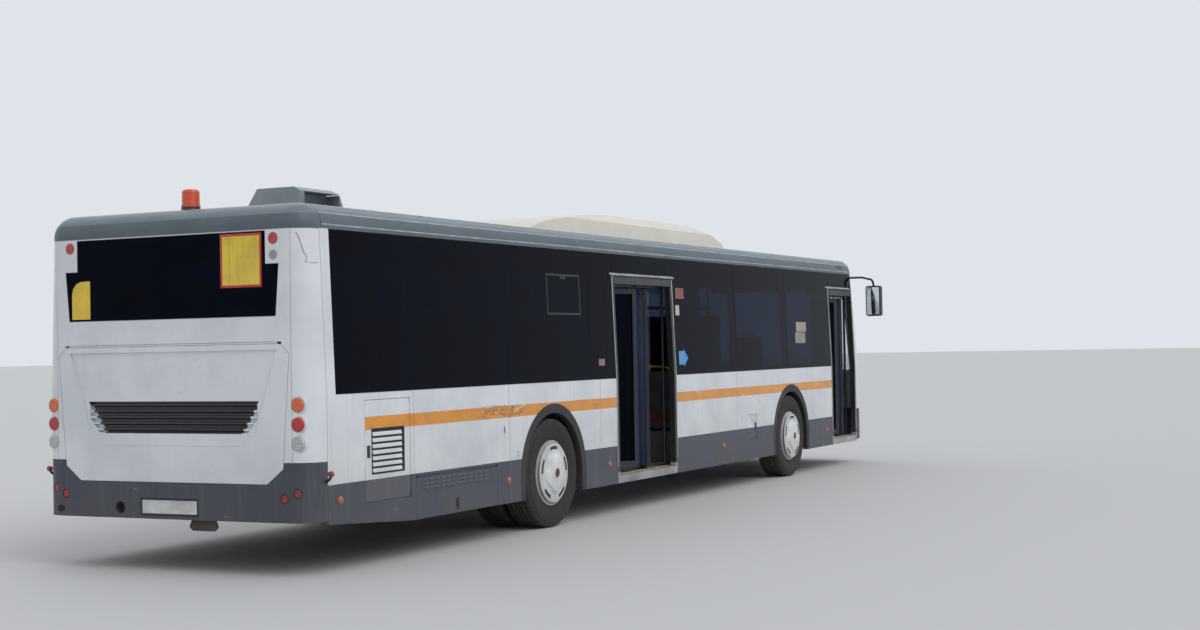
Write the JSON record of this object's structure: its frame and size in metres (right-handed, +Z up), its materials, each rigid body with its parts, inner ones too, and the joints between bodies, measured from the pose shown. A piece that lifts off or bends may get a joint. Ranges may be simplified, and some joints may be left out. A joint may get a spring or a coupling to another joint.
{
  "type": "low-entry city bus",
  "caption": "Low-entry single-deck city bus with glazed sides, inward-gliding passenger doors, steered front wheels, twin rear wheels and hinged service hatches.",
  "frame": {"origin": "centre of the bounding box's floor, on the road under the middle of the body", "axes": "+X forwards, +Y to the driver's left, +Z up"},
  "size_m": [12.4, 3.02, 2.9502],
  "materials": {
    "white_paint": "gloss, dirty",
    "grey_paint": "satin",
    "roof_grey": "satin",
    "bumper_plastic": "matte, scuffed",
    "unit_plastic": "matte, weathered",
    "trim_rubber": "matte",
    "door_black": "satin",
    "dark_glass": "gloss",
    "lens": "gloss",
    "beacon_orange": "gloss",
    "tyre": "matte",
    "wheel_white": "gloss, dusty",
    "chassis_black": "matte, dusty",
    "cast_iron": "rough",
    "bellows_rubber": "matte",
    "floor_grey": "speckled vinyl",
    "seat_fabric": "woven",
    "rail_steel": "brushed",
    "cab_plastic": "grained",
    "mirror_plastic": "grained"
  },
  "bodies": {
    "body": {"floor": "floor_grey", "chassis": "chassis_black", "side_frame_right": "white_paint", "side_frame_left": "white_paint", "skirts": "grey_paint", "side_glass": "dark_glass", "windscreen": "dark_glass", "rear_window": "dark_glass", "roof": "roof_grey", "roof_hatches": "unit_plastic", "ac_unit": "unit_plastic", "intake_hood": "roof_grey", "beacon": "beacon_orange", "rear_cap": "white_paint", "rear_bumper": "bumper_plastic", "front_cap": "white_paint", "front_bumper": "bumper_plastic", "arch_trims": "trim_rubber", "lamps": "lens", "mirrors": "mirror_plastic", "seats": "seat_fabric", "handrails": "rail_steel", "cab_fittings": "cab_plastic", "door_surrounds": "door_black", "engine": "cast_iron", "front_axle": "chassis_black", "rear_axle": "chassis_black", "air_springs": "bellows_rubber"},
    "left_knuckle": {"knuckle_left": "cast_iron"},
    "front_left_wheel": {"front_tyre_left": "tyre", "front_wheel_left": "wheel_white"},
    "rear_left_wheels": {"rear_tyres_left": "tyre", "rear_wheel_left": "wheel_white"},
    "right_knuckle": {"knuckle_right": "cast_iron"},
    "front_right_wheel": {"front_tyre_right": "tyre", "front_wheel_right": "wheel_white"},
    "rear_right_wheels": {"rear_tyres_right": "tyre", "rear_wheel_right": "wheel_white"},
    "steering_wheel": {"steering_wheel": "cab_plastic"},
    "mid_door_rear_pillar": {"mid_door_rear_pillar": "door_black"},
    "mid_door_rear_leaf": {"mid_door_rear_leaf": "door_black", "mid_door_rear_glass": "dark_glass"},
    "mid_door_front_pillar": {"mid_door_front_pillar": "door_black"},
    "mid_door_front_leaf": {"mid_door_front_leaf": "door_black", "mid_door_front_glass": "dark_glass"},
    "front_door_rear_pillar": {"front_door_rear_pillar": "door_black"},
    "front_door_rear_leaf": {"front_door_rear_leaf": "door_black", "front_door_rear_glass": "dark_glass"},
    "front_door_front_pillar": {"front_door_front_pillar": "door_black"},
    "front_door_front_leaf": {"front_door_front_leaf": "door_black", "front_door_front_glass": "dark_glass"},
    "engine_hatch": {"engine_hatch": "white_paint"},
    "louvre_door": {"louvre_door": "white_paint"},
    "engine_flap": {"engine_flap": "grey_paint"},
    "fuel_flap": {"fuel_flap": "white_paint"},
    "radiator_door": {"radiator_door": "white_paint"}
  },
  "joints": [
    {"name": "left_steer", "type": "hinge", "parent": "body", "child": "left_knuckle", "pos_m": [3.323, 1, 0.478], "axis": [0, 0, 1], "range_deg": [-40, 40]},
    {"name": "front_left_roll", "type": "hinge", "parent": "left_knuckle", "child": "front_left_wheel", "pos_m": [3.323, 1.0985, 0.478], "axis": [0, 1, 0], "continuous": true},
    {"name": "rear_left_roll", "type": "hinge", "parent": "body", "child": "rear_left_wheels", "pos_m": [-2.637, 0.942, 0.478], "axis": [0, 1, 0], "continuous": true},
    {"name": "right_steer", "type": "hinge", "parent": "body", "child": "right_knuckle", "pos_m": [3.323, -1, 0.478], "axis": [0, 0, 1], "range_deg": [-40, 40]},
    {"name": "front_right_roll", "type": "hinge", "parent": "right_knuckle", "child": "front_right_wheel", "pos_m": [3.323, -1.0985, 0.478], "axis": [0, 1, 0], "continuous": true},
    {"name": "rear_right_roll", "type": "hinge", "parent": "body", "child": "rear_right_wheels", "pos_m": [-2.637, -0.942, 0.478], "axis": [0, 1, 0], "continuous": true},
    {"name": "steering_turn", "type": "hinge", "parent": "body", "child": "steering_wheel", "pos_m": [5.5, 0.62, 1.24], "axis": [-0.4226, 0, 0.9063], "range_deg": [-720, 720]},
    {"name": "mid_door_rear_open", "type": "hinge", "parent": "body", "child": "mid_door_rear_pillar", "pos_m": [-1.363, -1.107, 1.2], "axis": [0, 0, 1], "range_deg": [-28, 50]},
    {"name": "mid_door_rear_swing", "type": "hinge", "parent": "mid_door_rear_pillar", "child": "mid_door_rear_leaf", "pos_m": [-1.07913, -0.95607, 1.2], "axis": [0, 0, 1], "range_deg": [-100, 56]},
    {"name": "mid_door_front_open", "type": "hinge", "parent": "body", "child": "mid_door_front_pillar", "pos_m": [-0.007, -1.107, 1.2], "axis": [0, 0, -1], "range_deg": [-28, 50]},
    {"name": "mid_door_front_swing", "type": "hinge", "parent": "mid_door_front_pillar", "child": "mid_door_front_leaf", "pos_m": [-0.29087, -0.95607, 1.2], "axis": [0, 0, -1], "range_deg": [-100, 56]},
    {"name": "front_door_rear_open", "type": "hinge", "parent": "body", "child": "front_door_rear_pillar", "pos_m": [4.8, -1.107, 1.2], "axis": [0, 0, 1], "range_deg": [-28, 45]},
    {"name": "front_door_rear_swing", "type": "hinge", "parent": "front_door_rear_pillar", "child": "front_door_rear_leaf", "pos_m": [4.9916, -1.00513, 1.2], "axis": [0, 0, 1], "range_deg": [-90, 56]},
    {"name": "front_door_front_open", "type": "hinge", "parent": "body", "child": "front_door_front_pillar", "pos_m": [5.738, -1.107, 1.2], "axis": [0, 0, -1], "range_deg": [-28, 45]},
    {"name": "front_door_front_swing", "type": "hinge", "parent": "front_door_front_pillar", "child": "front_door_front_leaf", "pos_m": [5.5464, -1.00513, 1.2], "axis": [0, 0, -1], "range_deg": [-90, 56]},
    {"name": "engine_hatch_hinge", "type": "hinge", "parent": "body", "child": "engine_hatch", "pos_m": [-6.192, 0, 1.648], "axis": [0, 1, 0], "range_deg": [0, 80]},
    {"name": "louvre_door_hinge", "type": "hinge", "parent": "body", "child": "louvre_door", "pos_m": [-4.954, -1.242, 0.85], "axis": [0, 0, 1], "range_deg": [0, 90]},
    {"name": "engine_flap_hinge", "type": "hinge", "parent": "body", "child": "engine_flap", "pos_m": [-4.25, -1.242, 0.612], "axis": [-1, 0, 0], "range_deg": [0, 90]},
    {"name": "fuel_flap_hinge", "type": "hinge", "parent": "body", "child": "fuel_flap", "pos_m": [2.196, -1.242, 0.65], "axis": [0, 0, 1], "range_deg": [0, 90]},
    {"name": "radiator_door_hinge", "type": "hinge", "parent": "body", "child": "radiator_door", "pos_m": [-4.542, 1.242, 0.85], "axis": [0, 0, -1], "range_deg": [0, 90]}
  ],
  "couplings": [
    {"joint": "right_steer", "follows": "left_steer", "ratio": 1},
    {"joint": "steering_turn", "follows": "left_steer", "ratio": 18},
    {"joint": "mid_door_rear_swing", "follows": "mid_door_rear_open", "ratio": -2},
    {"joint": "mid_door_front_swing", "follows": "mid_door_front_open", "ratio": -2},
    {"joint": "front_door_rear_swing", "follows": "front_door_rear_open", "ratio": -2},
    {"joint": "front_door_front_swing", "follows": "front_door_front_open", "ratio": -2}
  ]
}
